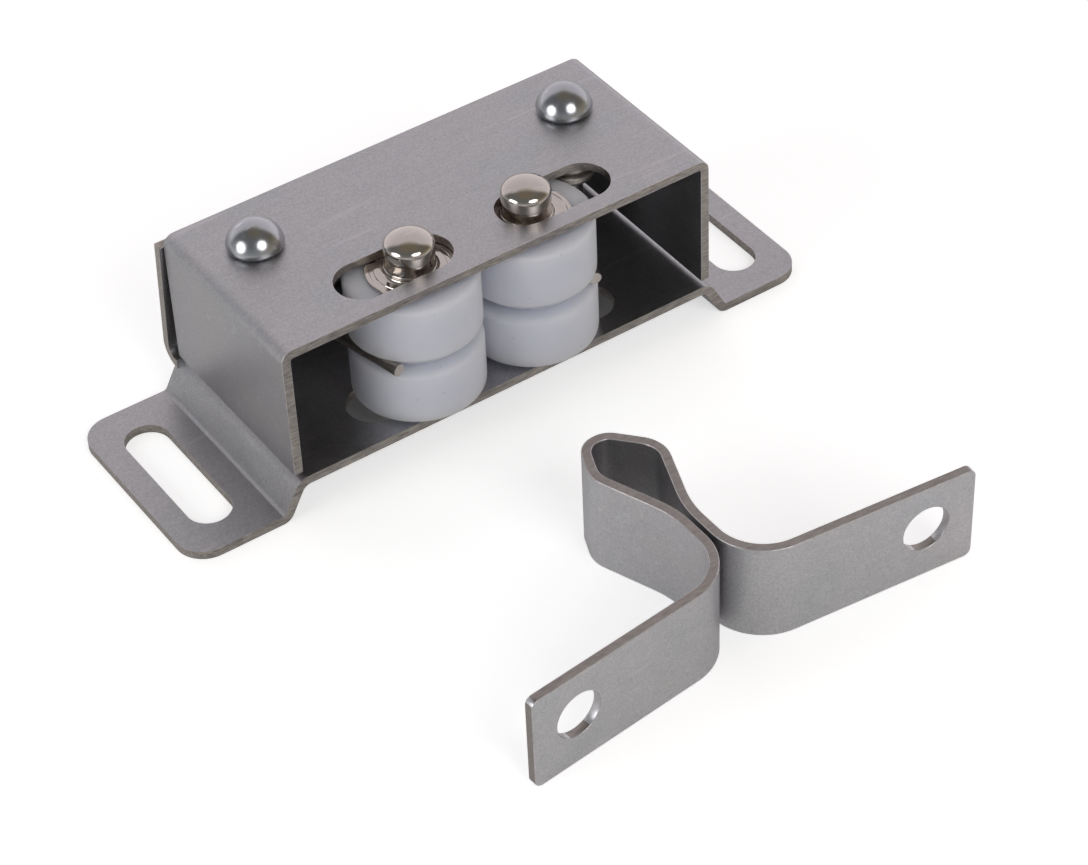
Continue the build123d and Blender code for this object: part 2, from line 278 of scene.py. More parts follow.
def put(tree, kind, at, **values):
    """Adds a node to a tree and sets its plain values and its inputs by name."""
    node = tree.nodes.new(kind)
    node.location = at
    for key, value in values.items():
        label = key.replace("_", " ")
        if hasattr(node, key):
            setattr(node, key, value)
        else:
            socket = next(s for s in node.inputs if s.name.lower() == label.lower() and s.enabled)
            socket.default_value = value
    return node


def feed(tree, socket, value):
    """Links an input to an output, or gives it a plain value."""
    if isinstance(value, bpy.types.NodeSocket):
        tree.links.new(value, socket)
    else:
        socket.default_value = value


def reckoned(tree, at, operation, *values, clamp=False):
    """The result of a Math node. Its values are numbers or outputs."""
    node = put(tree, "ShaderNodeMath", at, operation=operation, use_clamp=clamp)
    for socket, value in zip(node.inputs, values):
        feed(tree, socket, value)
    return node.outputs[0]


def ranged(tree, at, value, low, high, start=0.0, end=1.0):
    """Maps a value from the range start to end to the range low to high."""
    node = put(
        tree, "ShaderNodeMapRange", at, from_min=start, from_max=end, to_min=low, to_max=high)
    tree.links.new(value, node.inputs["Value"])
    return node.outputs["Result"]


def mapped(tree, at, place, **values):
    """A place that is turned and stretched."""
    node = put(tree, "ShaderNodeMapping", at, **values)
    tree.links.new(place, node.inputs["Vector"])
    return node.outputs["Vector"]


def noise(tree, at, place, scale, **values):
    """Noise at a place. Its scale is a number or an output."""
    node = put(tree, "ShaderNodeTexNoise", at, **values)
    feed(tree, node.inputs["Scale"], scale)
    tree.links.new(place, node.inputs["Vector"])
    return node.outputs["Fac"]


def bumped(tree, at, height, strength, distance):
    """A bump from a height."""
    node = put(tree, "ShaderNodeBump", at, strength=strength, distance=distance)
    tree.links.new(height, node.inputs["Height"])
    return node.outputs["Normal"]


def mixed_colour(tree, at, factor, low, high):
    """Mixes two colours by a mask. Low and high are colours or outputs."""
    mix = put(tree, "ShaderNodeMix", at, data_type="RGBA")
    tree.links.new(factor, mix.inputs["Factor"])
    for socket, colour in ((mix.inputs[6], low), (mix.inputs[7], high)):
        is_output = isinstance(colour, bpy.types.NodeSocket)
        feed(tree, socket, colour if is_output else (*colour[:3], 1.0))
    return mix.outputs[2]


def brightened(tree, at, colour, factor):
    """A colour made lighter or darker by an output."""
    node = put(tree, "ShaderNodeVectorMath", at, operation="SCALE")
    tree.links.new(colour, node.inputs[0])
    tree.links.new(factor, node.inputs["Scale"])
    return node.outputs[0]


def scaled(colour, factor):
    """A colour made lighter or darker by a number."""
    return tuple(min(1.0, channel * factor) for channel in colour)


# The effects that the finishes share

def new_group(name, inputs, outputs):
    """A shader node group of numbers that vary with a Vector. It returns the tree and its ends."""
    tree = bpy.data.node_groups.new(name, "ShaderNodeTree")
    tree.interface.new_socket(name="Vector", in_out="INPUT", socket_type="NodeSocketVector")
    for label, default in inputs:
        socket = tree.interface.new_socket(
            name=label, in_out="INPUT", socket_type="NodeSocketFloat")
        socket.default_value = default
    for label in outputs:
        tree.interface.new_socket(name=label, in_out="OUTPUT", socket_type="NodeSocketFloat")
    enter = put(tree, "NodeGroupInput", (-900, 0))
    leave = put(tree, "NodeGroupOutput", (900, 0))
    return tree, enter.outputs, leave.inputs


def grain_group():
    """Fine streaks along the strip, left by the rolling mill, and a pebbly plating grain."""
    tree, given, result = new_group(
        "Rolled grain", (("Streaks", 0.5), ("Pebbles", 0.5)), ("Height", "Tone"))
    stretched = mapped(tree, (-700, 200), given["Vector"], scale=(90.0, 2600.0, 2600.0))
    streak = noise(tree, (-500, 200), stretched, 1.0, detail=3.0, roughness=0.6)
    pebble = noise(tree, (-500, -100), given["Vector"], 4200.0, detail=2.0, roughness=0.55)
    height = reckoned(
        tree, (0, 100), "ADD",
        reckoned(tree, (-250, 200), "MULTIPLY", streak, given["Streaks"]),
        reckoned(tree, (-250, -100), "MULTIPLY", pebble, given["Pebbles"]))
    most = reckoned(tree, (0, -200), "ADD", given["Streaks"], given["Pebbles"])
    mean = reckoned(tree, (100, -300), "MULTIPLY", most, 0.5)
    tree.links.new(height, result["Height"])
    tree.links.new(reckoned(tree, (200, -100), "SUBTRACT", height, mean), result["Tone"])


def handling_group():
    """Broad cloudy patches from handling and plating, as a mask from 0 to 1."""
    tree, given, result = new_group(
        "Handling clouds", (("Size", 110.0), ("Contrast", 1.0)), ("Mask",))
    cloud = noise(tree, (-500, 0), given["Vector"], given["Size"], detail=4.0, roughness=0.62,
                  distortion=0.4)
    away = reckoned(tree, (-250, 0), "SUBTRACT", cloud, 0.5)
    mask = reckoned(tree, (0, 0), "MULTIPLY_ADD", away, given["Contrast"], 0.5, clamp=True)
    tree.links.new(mask, result["Mask"])


def scratch_group():
    """Sparse hairline scratches in two directions, as a mask from 0 to 1."""
    tree, given, result = new_group(
        "Hairline scratches", (("Spacing", 260.0), ("Amount", 0.5)), ("Mask",))
    masks = []
    for index, turn in enumerate((0.35, -0.9)):
        y = 200 - 400 * index
        place = mapped(tree, (-700, y), given["Vector"], rotation=(0.5 * index, 0.3, turn),
                       scale=(0.06, 1.0, 1.0))
        spacing = reckoned(tree, (-600, y - 180), "MULTIPLY", given["Spacing"], 6.0 + 3.0 * index)
        lines = noise(tree, (-500, y), place, spacing, detail=1.0, roughness=0.4)
        masks.append(ranged(tree, (-250, y), lines, 0.0, 1.0, 0.70, 0.76))
    both = reckoned(tree, (100, 0), "MAXIMUM", *masks)
    mask = reckoned(tree, (300, 0), "MULTIPLY", both, given["Amount"], clamp=True)
    tree.links.new(mask, result["Mask"])


def grouped(tree, group, at, place, **values):
    """The outputs of a node group at a place, with its other inputs set by name."""
    node = tree.nodes.new("ShaderNodeGroup")
    node.node_tree = bpy.data.node_groups[group]
    node.location = at
    tree.links.new(place, node.inputs["Vector"])
    for key, value in values.items():
        node.inputs[key.capitalize()].default_value = value
    return node.outputs


def clouds(tree, at, place, size, contrast):
    """The mask of the cloudy patches at a place."""
    return grouped(tree, "Handling clouds", at, place, size=size, contrast=contrast)["Mask"]


def hairlines(tree, at, place, spacing, amount):
    """The mask of the hairline scratches at a place."""
    return grouped(tree, "Hairline scratches", at, place, spacing=spacing, amount=amount)["Mask"]


# The finishes

def new_material(name, metallic=1.0):
    """A material with a Principled shader. It returns the material, its tree, shader and place."""
    material = bpy.data.materials.new(name)
    material.use_nodes = True
    tree = material.node_tree
    shader = tree.nodes["Principled BSDF"]
    shader.inputs["Metallic"].default_value = metallic
    place = put(tree, "ShaderNodeTexCoord", (-1500, 0))
    return material, tree, shader, place.outputs["Object"]


def lay_on(tree, shader, colour, roughness, normal=None):
    """Links what varies over the surface to the shader."""
    for name, output in (("Base Color", colour), ("Roughness", roughness), ("Normal", normal)):
        if output is not None:
            tree.links.new(output, shader.inputs[name])


def set_plain(shader, values):
    """Sets what is the same all over the surface on the shader's own sockets."""
    for name, value in values.items():
        shader.inputs[name].default_value = value


def sheet_steel(name, tone=1.0, roughness=0.38):
    """Satin plated sheet: a pebbly grain, faint mill streaks, cloudy tint and a few hairlines."""
    colours = bpy.context.scene.catch_colours
    material, tree, shader, place = new_material(name)
    grain = grouped(tree, "Rolled grain", (-1100, 250), place, streaks=0.22, pebbles=0.9)
    broad = clouds(tree, (-1100, 0), place, 120.0, 1.6)
    fine = clouds(tree, (-1100, -200), place, 620.0, 1.5)
    hairs = hairlines(tree, (-1100, -400), place, 120.0, 0.35)
    tint = mixed_colour(tree, (-800, 0), broad,
                        scaled(colours.steel, tone), scaled(colours.steel_cool, tone))
    light = ranged(tree, (-800, 300), grain["Tone"], 0.84, 1.16, -0.25, 0.25)
    blotch = ranged(tree, (-800, 150), fine, 0.95, 1.05)
    toned = brightened(tree, (-550, 100), tint,
                       reckoned(tree, (-650, 250), "MULTIPLY", light, blotch))
    scratched = mixed_colour(tree, (-350, 0), hairs, toned, scaled(colours.steel, 1.3 * tone))
    lay_on(tree, shader, scratched,
           ranged(tree, (-350, -250), fine, roughness - 0.04, roughness + 0.06),
           bumped(tree, (-200, -500), grain["Height"], 0.18, 0.00002))
    return material


def cut_steel(name, tone=1.0, tears_seen=1.0):
    """Sheared edge of the sheet: warm and patchy, with the fine tears that shears leave."""
    colours = bpy.context.scene.catch_colours
    material, tree, shader, place = new_material(name)
    stretched = mapped(tree, (-1300, 200), place, scale=(0.3, 1.0, 1.8))
    tears = noise(tree, (-1100, 200), stretched, 2600.0, detail=4.0, roughness=0.7)
    patches = clouds(tree, (-1100, -100), place, 420.0, 2.2)
    tint = mixed_colour(tree, (-800, 0), patches,
                        scaled(colours.cut, 0.88 * tone), scaled(colours.cut, 1.14 * tone))
    light = ranged(tree, (-800, 250), tears, 1.05 - 0.45 * tears_seen, 1.05 + 0.45 * tears_seen,
                   0.3, 0.7)
    lay_on(tree, shader, brightened(tree, (-550, 100), tint, light),
           ranged(tree, (-350, -250), patches, 0.30, 0.52),
           bumped(tree, (-200, -450), tears, 0.5, 0.00004))
    return material


def rim_with_painted_highlight(name):
    """The round between a face and its cut edge: partly burnished metal, partly painted highlight
    in lightened patches.
    """
    colours = bpy.context.scene.catch_colours
    material, tree, shader, place = new_material(name)
    patches = clouds(tree, (-1100, 0), place, 1500.0, 2.4)
    # Painted highlight: patches of the rim are made up to half again lighter than the sheet
    tint = mixed_colour(tree, (-600, 0), patches, colours.steel, scaled(colours.steel, 1.5))
    lay_on(tree, shader, tint, ranged(tree, (-400, -250), patches, 0.42, 0.30))
    return material


def plated(name, colour, roughness, marks):
    """Bright plating with cloudy wear, fine dimples and hairlines."""
    material, tree, shader, place = new_material(name)
    broad = clouds(tree, (-1100, 200), place, 380.0, 1.6)
    fine = clouds(tree, (-1100, 0), place, 1700.0, 1.8)
    hairs = hairlines(tree, (-1100, -250), place, 200.0, marks)
    tint = mixed_colour(tree, (-800, 100), broad, scaled(colour, 0.92), scaled(colour, 1.07))
    worn = mixed_colour(tree, (-550, 100), hairs, tint, scaled(colour, 1.3))
    dimples = reckoned(tree, (-600, -450), "ADD", broad, fine)
    lay_on(tree, shader, worn,
           ranged(tree, (-400, -200), fine, roughness * 0.75, roughness * 1.3),
           bumped(tree, (-200, -450), dimples, 0.12, 0.00003))
    return material


def drawn_wire():
    """Dark drawn spring wire, slightly oily."""
    colours = bpy.context.scene.catch_colours
    material, tree, shader, place = new_material("Drawn spring wire")
    broad = clouds(tree, (-1100, 200), place, 700.0, 2.0)
    fine = clouds(tree, (-1100, -100), place, 3200.0, 1.6)
    tint = mixed_colour(tree, (-700, 100), broad,
                        scaled(colours.wire, 0.75), scaled(colours.wire, 1.35))
    lay_on(tree, shader, tint, ranged(tree, (-400, -200), fine, 0.28, 0.45),
           bumped(tree, (-200, -450), fine, 0.25, 0.00002))
    return material


def nylon():
    """Natural nylon: milky, translucent, with turning rings and dust specks."""
    colours = bpy.context.scene.catch_colours
    material, tree, shader, place = new_material("Natural nylon", metallic=0.0)
    broad = clouds(tree, (-1100, 200), place, 160.0, 1.2)
    rings = mapped(tree, (-1300, -100), place, scale=(20.0, 20.0, 5200.0))
    turning = noise(tree, (-1100, -100), rings, 1.0, detail=2.0, roughness=0.5)
    specks = put(tree, "ShaderNodeTexVoronoi", (-1100, -400), scale=520.0, randomness=1.0)
    tree.links.new(place, specks.inputs["Vector"])
    dot = ranged(tree, (-900, -400), specks.outputs["Distance"], 1.0, 0.0, 0.03, 0.07)
    tint = mixed_colour(tree, (-800, 100), broad,
                        scaled(colours.nylon, 0.965), scaled(colours.nylon, 1.03))
    dusty = mixed_colour(tree, (-550, 100), dot, tint, scaled(colours.nylon, 0.72))
    lay_on(tree, shader, dusty, ranged(tree, (-400, -200), turning, 0.48, 0.60),
           bumped(tree, (-200, -450), turning, 0.10, 0.00002))
    set_plain(shader, {
        "IOR": 1.53, "Specular IOR Level": 0.25, "Subsurface Weight": 1.0,
        "Subsurface Radius": (0.9, 0.95, 1.0), "Subsurface Scale": 0.006})
    return material


def dress(piece, *materials):
    """Gives a piece its materials, the first for every face."""
    piece.data.materials.clear()
    for material in materials:
        piece.data.materials.append(material)
    for face in piece.data.polygons:
        face.material_index = 0


# Turned pieces

def turned(name, outline, middle, steps=96):
    """A piece turned about the upright line through middle.

    The outline is a run of points of radius and height, from the axis to the axis or
    closed round a bore.
    """
    deselect()
    bpy.ops.mesh.primitive_plane_add(size=0.001, location=(middle.x, middle.y, 0.0))
    piece = bpy.context.active_object
    piece.name = name
    piece.data.name = name
    bpy.ops.object.transform_apply(location=True, rotation=True, scale=True)
    bpy.ops.object.mode_set(mode="EDIT")
    bpy.ops.mesh.select_mode(type="VERT")
    bpy.ops.mesh.select_all(action="SELECT")
    bpy.ops.mesh.merge(type="CENTER")
    bpy.ops.transform.translate(value=(outline[0][0], 0.0, outline[0][1]))
    has_bore = outline[0][0] > 0
    for before, after in zip(outline, outline[1:] + outline[:1] * has_bore):
        step = (after[0] - before[0], 0.0, after[1] - before[1])
        bpy.ops.mesh.extrude_region_move(TRANSFORM_OT_translate={"value": step})
    bpy.ops.mesh.select_all(action="SELECT")
    bpy.ops.mesh.spin(
        steps=steps, angle=2 * pi, center=(middle.x, middle.y, 0.0), axis=(0.0, 0.0, 1.0))
    bpy.ops.mesh.select_all(action="SELECT")
    bpy.ops.mesh.remove_doubles(threshold=2e-7)
    bpy.ops.mesh.normals_make_consistent(inside=False)
    bpy.ops.mesh.select_all(action="DESELECT")
    bpy.ops.object.mode_set(mode="OBJECT")
    return piece


def arc(middle, across, rise, start, end, count):
    """Points of an elliptic arc. The angles are in degrees, from outwards to upwards."""
    points = []
    for index in range(count + 1):
        angle = radians(start + (end - start) * index / count)
        points.append((middle[0] + across * cos(angle), middle[1] + rise * sin(angle)))
    return points


def cap(top, radius, rise, count):
    """Points of a round cap, from its top down to its rim."""
    ball = (radius * radius + rise * rise) / (2 * rise)
    rim = degrees(asin(radius / ball)) if rise < radius else 90.0
    return arc((0.0, top - ball), ball, ball, 90, 90 - rim, count)


def node_middle(node):
    """The middle of a node's box, and its lowest and highest height."""
    low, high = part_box(node)
    return (low + high) / 2, low.z, high.z


class CATCH_OT_finishes(bpy.types.Operator):
    """Makes the effects that the finishes share: grain, clouds and scratches"""
    bl_idname = "catch.finishes"
    bl_label = "Shared finishes"

    def execute(self, context):
        for make in (grain_group, handling_group, scratch_group):
            make()
        return {"FINISHED"}


class CATCH_OT_cover(bpy.types.Operator):
    """Dresses the folded cover: rolled rims, sheared edges and satin sheet"""
    bl_idname = "catch.cover"
    bl_label = "Cover"

    def execute(self, context):
        sizes = context.scene.catch_sizes
        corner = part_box("cover")[1]
        slack, end_bend = 0.0001, 0.003
        under = corner.z - sizes.sheet - slack
        piece = copy_of("cover")
        dress(piece, sheet_steel("Cover sheet"), cut_steel("Cover cut edge"),
              rim_with_painted_highlight("Cover rim"))
        # The front and rear edges, then the walls of the slots and the rivet holes
        paint_faces(piece, CUT_FACE, lambda normal, at: abs(normal.y) > SQUARE_ON)
        paint_faces(piece, CUT_FACE, lambda normal, at: abs(normal.z) < EDGE_ON
                    and at.z > under and abs(at.x) < corner.x - end_bend)
        roll_edges(piece, lambda a, b: True, sizes.cut_roll, segments=2, slot=ROLLED_RIM)
        finish_piece(piece, "case", "case_steel", "cover")
        weight_normals(piece)
        return {"FINISHED"}


class CATCH_OT_base(bpy.types.Operator):
    """Dresses the base: rolled ears, joggles, back wall and satin sheet"""
    bl_idname = "catch.base"
    bl_label = "Base"

    def execute(self, context):
        sizes = context.scene.catch_sizes
        wall_bend, ears_start, same_height = 0.0015, 0.0315, 0.00002
        wall_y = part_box("cover")[1].y - wall_bend
        piece = copy_of("base")
        dress(piece, sheet_steel("Base sheet", tone=0.97), cut_steel("Base cut edge"),
              rim_with_painted_highlight("Base rim"))
        # The edges of the plate and its slots, then the ends and the top of the back wall
        paint_faces(piece, CUT_FACE, lambda normal, at: abs(normal.z) < EDGE_ON
                    and at.y < wall_y)
        paint_faces(piece, CUT_FACE, lambda normal, at: at.y > wall_y and (
            abs(normal.x) > FACING or normal.z > FACING))

        def on_ear(a):
            return abs(a.x) > ears_start and abs(a.z - sizes.sheet) < same_height

        roll_edges(piece, lambda a, b: on_ear(a) and on_ear(b), sizes.ear_roll, segments=4,
                   slot=ROLLED_RIM)
        roll_edges(piece, lambda a, b: True, sizes.cut_roll, segments=2, slot=ROLLED_RIM)
        finish_piece(piece, "case", "case_steel", "base")
        weight_normals(piece)
        return {"FINISHED"}


class CATCH_OT_strike(bpy.types.Operator):
    """Dresses the strike: one strip folded to a bulb and two feet"""
    bl_idname = "catch.strike"
    bl_label = "Strike"

    def execute(self, context):
        sizes = context.scene.catch_sizes
        piece = copy_of("strike")
        dress(piece, sheet_steel("Strike sheet", tone=1.36, roughness=0.34),
              cut_steel("Strike cut edge", tone=0.80, tears_seen=0.45),
              rim_with_painted_highlight("Strike rim"))
        low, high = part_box("strike")
        end = 0.0006
        # The strip's two rims, then the ends of its feet
        paint_faces(piece, CUT_FACE, lambda normal, at: abs(normal.z) > FACING)
        paint_faces(piece, CUT_FACE, lambda normal, at: abs(normal.x) > FACING and (
            at.x < low.x + end or at.x > high.x - end))
        roll_edges(piece, lambda a, b: True, sizes.strike_roll, segments=3, slot=ROLLED_RIM)
        finish_piece(piece, "case", "strike_steel", "strike")
        weight_normals(piece)
        return {"FINISHED"}


class CATCH_OT_posts(bpy.types.Operator):
    """Turns the two riveted posts with their domes"""
    bl_idname = "catch.posts"
    bl_label = "Posts"

    def execute(self, context):
        sizes = context.scene.catch_sizes
        finish = plated("Bright zinc", context.scene.catch_colours.zinc, 0.20, 0.8)
        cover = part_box("cover")[1].z
        flange_play = 0.00005
        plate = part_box("lower_bush_left")[1].z - sizes.flange - flange_play
        for side in SIDES:
            node = f"post_{side}"
            middle, foot, top = node_middle(node)
            radius = (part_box(node)[1].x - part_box(node)[0].x) / 2
            lip = cover + sizes.dome_lip
            dome = cap(top, radius, top - lip, 22)
            curl = arc((sizes.dome_foot, lip), radius - sizes.dome_foot, sizes.dome_lip, 0, -90, 6)
            upset = arc((sizes.upset - sizes.upset_round, foot + sizes.upset_round),
                        sizes.upset_round, sizes.upset_round, 0, -90, 5)
            shank = [(sizes.tenon, cover), (sizes.tenon, cover - sizes.sheet),
                     (sizes.post, cover - sizes.sheet), (sizes.post, plate),
                     (sizes.tenon, plate), (sizes.tenon, plate - sizes.sheet),
                     (sizes.upset, plate - sizes.sheet)]
            outline = [(0.0, top)] + dome[1:] + curl[1:] + shank + upset + [(0.0, foot)]
            piece = turned(node + "_turned", outline, middle)
            dress(piece, finish)
            finish_piece(piece, "case", "zinc_steel", node)
        return {"FINISHED"}


class CATCH_OT_rollers(bpy.types.Operator):
    """Dresses the two nylon rollers"""
    bl_idname = "catch.rollers"
    bl_label = "Rollers"

    def execute(self, context):
        sizes = context.scene.catch_sizes
        finish = nylon()
        same_radius, groove_width = 0.00005, 0.0027
        for side in SIDES:
            middle, foot = node_middle(f"roller_{side}")[:2]
            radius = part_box(f"roller_{side}")[1].x - middle.x
            groove = foot + sizes.groove_up

            def on_rim(a):
                return (hypot(a.x - middle.x, a.y - middle.y) > radius - same_radius
                        and groove - groove_width < a.z < groove)

            piece = copy_of(f"roller_{side}")
            dress(piece, finish)
            roll_edges(piece, lambda a, b: on_rim(a) and on_rim(b), sizes.groove_round,
                       segments=6, slot=0)
            finish_piece(piece, f"roller_{side}", "nylon", f"roller_{side}")
        return {"FINISHED"}


class CATCH_OT_pins(bpy.types.Operator):
    """Turns the pins, with their domed heads, and their flanged bushes"""
    bl_idname = "catch.pins"
    bl_label = "Pins and bushes"

    def execute(self, context):
        colours = context.scene.catch_colours
        finish = plated("Bright nickel", colours.nickel, 0.10, 0.35)
        for side in SIDES:
            for piece, node in (self.pin(context, side), self.bush(context, side, "upper", 1),
                                self.bush(context, side, "lower", -1)):
                dress(piece, finish)
                finish_piece(piece, f"carriage_{side}", "nickel", node)
        return {"FINISHED"}

    def pin(self, context, side):
        """A shank with a domed head above and a riveted foot below."""
        sizes = context.scene.catch_sizes
        node = f"pin_{side}"
        middle, foot, top = node_middle(node)
        radius = sizes.head
        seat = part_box(f"upper_bush_{side}")[1].z
        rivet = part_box(f"lower_bush_{side}")[0].z
        lip = 0.00012
        dome = arc((0.0, top - sizes.head_dome), radius, sizes.head_dome, 90, 0, 20)
        under = arc((radius - lip, seat + lip), lip, lip, 0, -90, 4)
        shank = [(sizes.shank, seat), (sizes.shank, rivet), (radius, rivet)]
        peened = arc((radius - sizes.foot_round, foot + sizes.foot_round), sizes.foot_round,
                     sizes.foot_round, 0, -90, 6)
        outline = [(0.0, top)] + dome[1:] + under + shank + peened + [(0.0, foot)]
        return turned(node + "_turned", outline, middle), node

    def bush(self, context, side, end, way):
        """A hub that hollows out into its flange, with a ring turned in the flange's face."""
        sizes = context.scene.catch_sizes
        node = f"{end}_bush_{side}"
        middle, low, high = node_middle(node)
        outer = (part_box(node)[1].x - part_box(node)[0].x) / 2
        seat, tip = (low, high) if way > 0 else (high, low)
        face = sizes.flange
        length = abs(tip - seat)
        rim, collar = 0.00009, 0.0001
        ring = [(radius, face - depth) for radius, depth in FLANGE_RING]
        hollow = arc((sizes.hub + sizes.hub_fillet, face + sizes.hub_fillet), sizes.hub_fillet,
                     sizes.hub_fillet, -90, -180, 8)
        waist = arc((sizes.hub, length - collar), sizes.hub_neck - sizes.hub,
                    face + sizes.hub_fillet - length + collar, 90, 0, 8)
        outline = [(sizes.shank, 0.0), (outer - rim, 0.0)]
        outline += arc((outer - rim, rim), rim, rim, -90, 0, 3)[1:]
        outline += arc((outer - rim, face - rim), rim, rim, 0, 90, 3) + ring + hollow
        outline += waist[1:] + [(sizes.hub_neck, length), (sizes.shank, length)]
        outline = [(radius, seat + way * height) for radius, height in outline]
        return turned(node + "_turned", outline, middle), node


class CATCH_OT_springs(bpy.types.Operator):
    """Dresses the two torsion springs. Their legs swing with the rollers in the real catch, but
    these pieces stay fixed in place
    """
    bl_idname = "catch.springs"
    bl_label = "Springs"

    def execute(self, context):
        finish = drawn_wire()
        colours = context.scene.catch_colours
        end = plated("Cut wire end", scaled(colours.nickel, 1.2), 0.3, 0.8)
        for side in SIDES:
            piece = copy_of(f"spring_{side}")
            dress(piece, finish, end)
            self.paint_ends(piece, pi * context.scene.catch_sizes.wire ** 2)
            finish_piece(piece, None, "spring_wire", f"spring_{side}")
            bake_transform(piece)
        return {"FINISHED"}

    def paint_ends(self, piece, section):
        """Brightens the faces where the wire was cut: round ones as large as its section."""
        many_corners, off_by = 10, 0.1
        for face in piece.data.polygons:
            if len(face.vertices) > many_corners and abs(face.area / section - 1) < off_by:
                face.material_index = WIRE_END


class CATCH_OT_stage(bpy.types.Operator):
    """Makes the pale floor, the soft studio light and the camera"""
    bl_idname = "catch.stage"
    bl_label = "Stage"

    def execute(self, context):
        self.floor(context)
        self.world(context)
        self.lamps(context)
        self.camera(context)
        context.scene.view_settings.view_transform = "Standard"
        return {"FINISHED"}

    def floor(self, context):
        """A wide floor that shows white, apart from under the case, where its colour is darkened as
        painted shade, and keeps the shadow.
        """
        studio = context.scene.catch_studio
        deselect()
        bpy.ops.mesh.primitive_plane_add(size=12.0, location=(0.0, 0.0, -0.00002))
        floor = context.active_object
        floor.name = "floor"
        material, tree, shader, place = new_material("Pale floor", metallic=0.0)
        set_plain(shader, {"Roughness": 0.7, "Specular IOR Level": 0.2,
                           "Emission Color": (1.0, 1.0, 1.0, 1.0)})
        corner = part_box("cover")[1]
        parts = put(tree, "ShaderNodeSeparateXYZ", (-1300, 200))
        tree.links.new(place, parts.inputs["Vector"])
        under = []
        for axis, reach in (("X", corner.x), ("Y", corner.y)):
            away = reckoned(tree, (-1100, 200), "ABSOLUTE", parts.outputs[axis])
            under.append(ranged(tree, (-900, 200), away, 1.0, 0.0,
                                *(reach - inward for inward in SHADE_STARTS)))
        covered = reckoned(tree, (-700, 200), "MULTIPLY", *under, clamp=True)
        # Painted shade: the floor's colour is darkened where the case covers it
        shade = mixed_colour(tree, (-500, 400), covered, studio.floor,
                             scaled(studio.floor, PAINTED_SHADE))
        tree.links.new(shade, shader.inputs["Base Color"])
        lift = ranged(tree, (-500, 200), covered, studio.lift, 0.0)
        paths = put(tree, "ShaderNodeLightPath", (-1100, -300)).outputs
        faint = ranged(tree, (-500, -500), paths["Is Glossy Ray"], 0.0, studio.gleam)
        share = reckoned(tree, (-500, -300), "MAXIMUM", self.seen(tree, paths), faint)
        shown = reckoned(tree, (-300, -100), "MULTIPLY", share, lift)
        tree.links.new(shown, shader.inputs["Emission Strength"])
        floor.data.materials.append(material)

    def seen(self, tree, paths):
        """1 for a ray from the camera or through something clear."""
        return reckoned(tree, (-700, -300), "MAXIMUM", paths["Is Camera Ray"],
                        paths["Is Transmission Ray"])

    def world(self, context):
        """White to the camera. The object meets a room that is white behind it and dim in front."""
        studio = context.scene.catch_studio
        world = bpy.data.worlds.new("Studio")
        context.scene.world = world
        world.use_nodes = True
        tree = world.node_tree
        link = tree.links.new
        back = tree.nodes["Background"]
        place = put(tree, "ShaderNodeTexCoord", (-1500, 0)).outputs["Generated"]
        azimuth = radians(CAMERA_AZIMUTH)
        along = []
        for x, y in ((-sin(azimuth), cos(azimuth)), (cos(azimuth), sin(azimuth))):
            part = put(tree, "ShaderNodeVectorMath", (-1300, 0), operation="DOT_PRODUCT")
            link(place, part.inputs[0])
            part.inputs[1].default_value = (x, y, 0.0)
            along.append(part.outputs["Value"])
        ahead, rightward = along
        parts = put(tree, "ShaderNodeSeparateXYZ", (-1300, -300))
        link(place, parts.inputs["Vector"])
        height = parts.outputs["Z"]
        behind = ranged(tree, (-1100, 0), ahead, 0.0, 1.0, *WALL_STARTS)
        wall = ranged(tree, (-1100, -200), height, studio.sky, studio.zenith, *WALL_FADES)
        front = ranged(tree, (-1100, -400), height, studio.near, studio.front, *FRONT_FADES)
        overhead = ranged(tree, (-1100, -600), height, 0.0, 1.0, *CEILING_STARTS)
        room = self.between(tree, behind, front, wall)
        room = self.between(tree, overhead, room, CEILING_SHARE * studio.front)
        seen = self.seen(tree, put(tree, "ShaderNodeLightPath", (-1100, -800)).outputs)
        link(self.between(tree, seen, room, 1.0), back.inputs["Strength"])
        warm = ranged(tree, (-1100, 300), rightward, 0.0, 1.0, *WARM_SIDE_STARTS)
        side = mixed_colour(tree, (-800, 300), warm, studio.cool, studio.warm)
        tint = mixed_colour(tree, (-600, 300), behind, side, studio.wall)
        top = mixed_colour(tree, (-450, 300), overhead, tint, studio.warm)
        link(mixed_colour(tree, (-300, 300), seen, top, (1.0, 1.0, 1.0)), back.inputs["Color"])

    def between(self, tree, factor, low, high):
        """A value between two others. Low and high are numbers or outputs."""
        mix = put(tree, "ShaderNodeMix", (-600, -300), data_type="FLOAT")
        for index, value in ((0, factor), (2, low), (3, high)):
            feed(tree, mix.inputs[index], value)
        return mix.outputs[0]

    def lamps(self, context):
        """Two wide softboxes, one to the left and one to the right of the camera."""
        studio = context.scene.catch_studio
        for name, (bearing, height, size) in LAMPS.items():
            turn, rise = radians(bearing), radians(height)
            away = Vector((-sin(turn) * cos(rise), -cos(turn) * cos(rise), sin(rise)))
            data = bpy.data.lights.new(name, "AREA")
            data.shape = "DISK"
            data.size = size
            data.energy = studio.lamp
            lamp = bpy.data.objects.new(name, data)
            lamp.location = Vector(LAMPS_FACE) + away * LAMP_DISTANCE
            lamp.rotation_euler = (-away).to_track_quat("-Z", "Y").to_euler()
            context.scene.collection.objects.link(lamp)

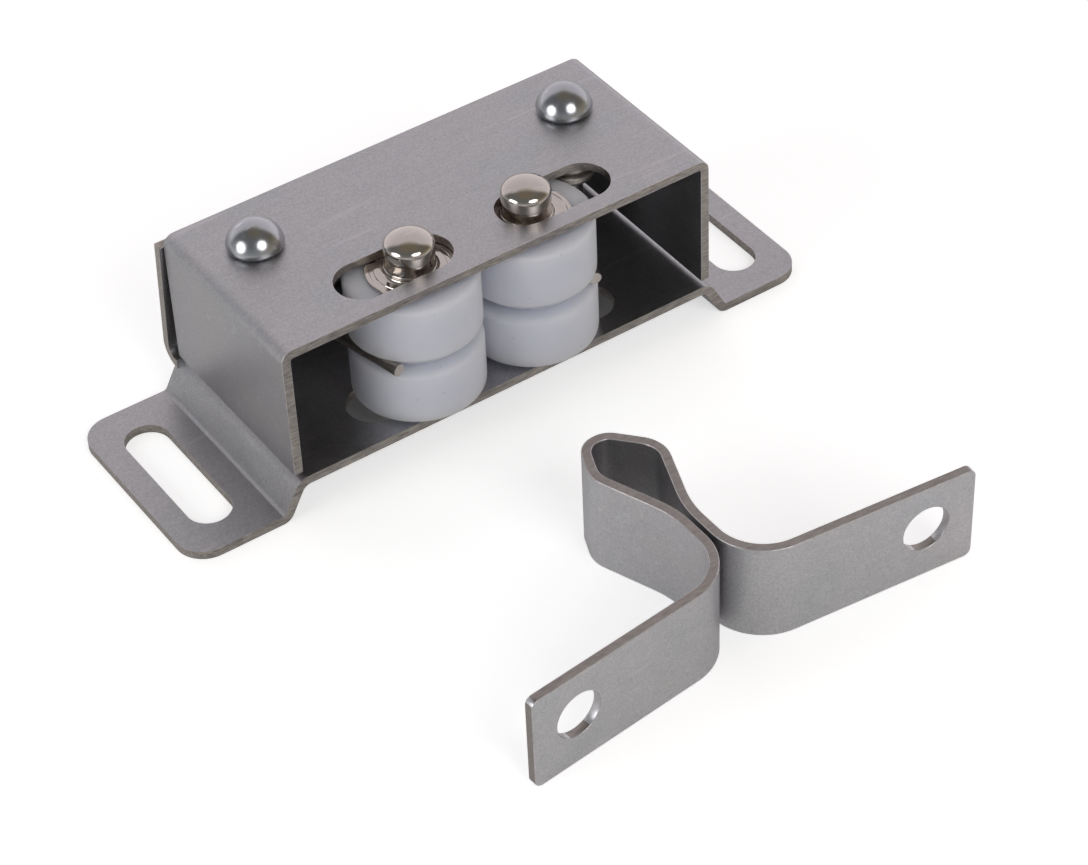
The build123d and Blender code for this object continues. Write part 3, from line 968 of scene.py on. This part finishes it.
    def camera(self, context):
        """The photograph's camera."""
        azimuth, elevation, roll = (
            radians(a) for a in (CAMERA_AZIMUTH, CAMERA_ELEVATION, CAMERA_ROLL))
        view = Vector((-sin(azimuth) * cos(elevation), cos(azimuth) * cos(elevation),
                       -sin(elevation)))
        level = Vector((cos(azimuth), sin(azimuth), 0.0))
        upward = level.cross(view)
        right = cos(roll) * level + sin(roll) * upward
        up = cos(roll) * upward - sin(roll) * level
        data = bpy.data.cameras.new("camera")
        data.sensor_width = 36.0
        data.lens = CAMERA_LENS
        data.clip_start = 0.01
        camera = bpy.data.objects.new("camera", data)
        camera.matrix_world = Matrix.Translation(CAMERA_AT) @ Matrix(
            (right, up, -view)).transposed().to_4x4()
        context.scene.collection.objects.link(camera)
        context.scene.camera = camera


OPERATORS = (
    CATCH_OT_finishes, CATCH_OT_cover, CATCH_OT_base, CATCH_OT_strike, CATCH_OT_posts,
    CATCH_OT_rollers, CATCH_OT_pins, CATCH_OT_springs, CATCH_OT_stage)


class CATCH_PT_panel(bpy.types.Panel):
    """Lists the steps that dress the catch, with their sizes and colours"""
    bl_idname = "CATCH_PT_panel"
    bl_label = "Grab catch"
    bl_space_type = "VIEW_3D"
    bl_region_type = "UI"
    bl_category = "Grab catch"

    def draw(self, context):
        for operator in OPERATORS:
            self.layout.operator(operator.bl_idname)
        for group in (context.scene.catch_sizes, context.scene.catch_colours,
                      context.scene.catch_studio):
            column = self.layout.column()
            for name in group.__annotations__:
                column.prop(group, name)


PROPERTY_GROUPS = (
    ("catch_sizes", CatchSizes), ("catch_colours", CatchColours), ("catch_studio", CatchStudio))


def register():
    """Adds the classes and their properties to Blender."""
    for name, group in PROPERTY_GROUPS:
        bpy.utils.register_class(group)
        setattr(bpy.types.Scene, name, bpy.props.PointerProperty(type=group))
    for operator in OPERATORS:
        bpy.utils.register_class(operator)
    bpy.utils.register_class(CATCH_PT_panel)


def unregister():
    """Takes the classes and their properties out again."""
    bpy.utils.unregister_class(CATCH_PT_panel)
    for operator in reversed(OPERATORS):
        bpy.utils.unregister_class(operator)
    for name, group in reversed(PROPERTY_GROUPS):
        delattr(bpy.types.Scene, name)
        bpy.utils.unregister_class(group)


def main():
    """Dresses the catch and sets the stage."""
    register()
    bpy.ops.catch.finishes()
    bpy.ops.catch.cover()
    bpy.ops.catch.base()
    bpy.ops.catch.strike()
    bpy.ops.catch.posts()
    bpy.ops.catch.rollers()
    bpy.ops.catch.pins()
    bpy.ops.catch.springs()
    bpy.ops.catch.stage()
    deselect()


if __name__ == "__main__":
    main()
